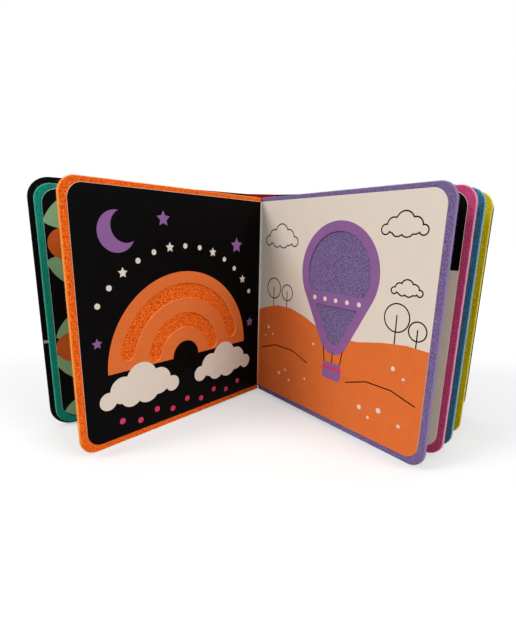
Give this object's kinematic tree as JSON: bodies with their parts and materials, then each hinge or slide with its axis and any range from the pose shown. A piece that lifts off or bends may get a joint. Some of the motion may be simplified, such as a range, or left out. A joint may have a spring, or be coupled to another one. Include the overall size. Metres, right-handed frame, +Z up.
{
  "type": "soft book",
  "caption": "Children's felt leaf book standing open: coloured felt leaves faced with die-cut printed card, in a black board case with hinged covers.",
  "frame": {"origin": "middle of the spine board's tail face, on the surface that the book stands on", "axes": "+Z up along the spine, +X to the reader's right, +Y away from the reader, behind the spine"},
  "size_m": [0.3304, 0.1523, 0.1791],
  "materials": {
    "case_board": "black laminated board",
    "printed_card": "printed card, satin",
    "green_felt": "green felt",
    "orange_felt": "orange felt",
    "purple_felt": "purple felt",
    "pink_felt": "pink felt",
    "blue_felt": "blue felt",
    "yellow_felt": "yellow felt"
  },
  "bodies": {
    "block": {"spine": "case_board", "green_leaf": "green_felt", "orange_leaf": "orange_felt", "purple_leaf": "purple_felt", "pink_leaf": "pink_felt", "blue_leaf": "blue_felt", "yellow_leaf": "yellow_felt", "green_orange_sheet": "printed_card", "open_sheet": "printed_card", "purple_pink_sheet": "printed_card", "pink_blue_sheet": "printed_card", "blue_yellow_sheet": "printed_card", "front_endpaper": "printed_card", "back_endpaper": "printed_card"},
    "front_board": {"front_cover": "case_board"},
    "back_board": {"back_cover": "case_board"}
  },
  "joints": [
    {"name": "front_cover_hinge", "type": "hinge", "parent": "block", "child": "front_board", "pos_m": [-0.0133, 0, 0], "axis": [0, 0, -1], "range_deg": [0, 115]},
    {"name": "back_cover_hinge", "type": "hinge", "parent": "block", "child": "back_board", "pos_m": [0.0133, 0, 0], "axis": [0, 0, 1], "range_deg": [-16, 99]}
  ]
}
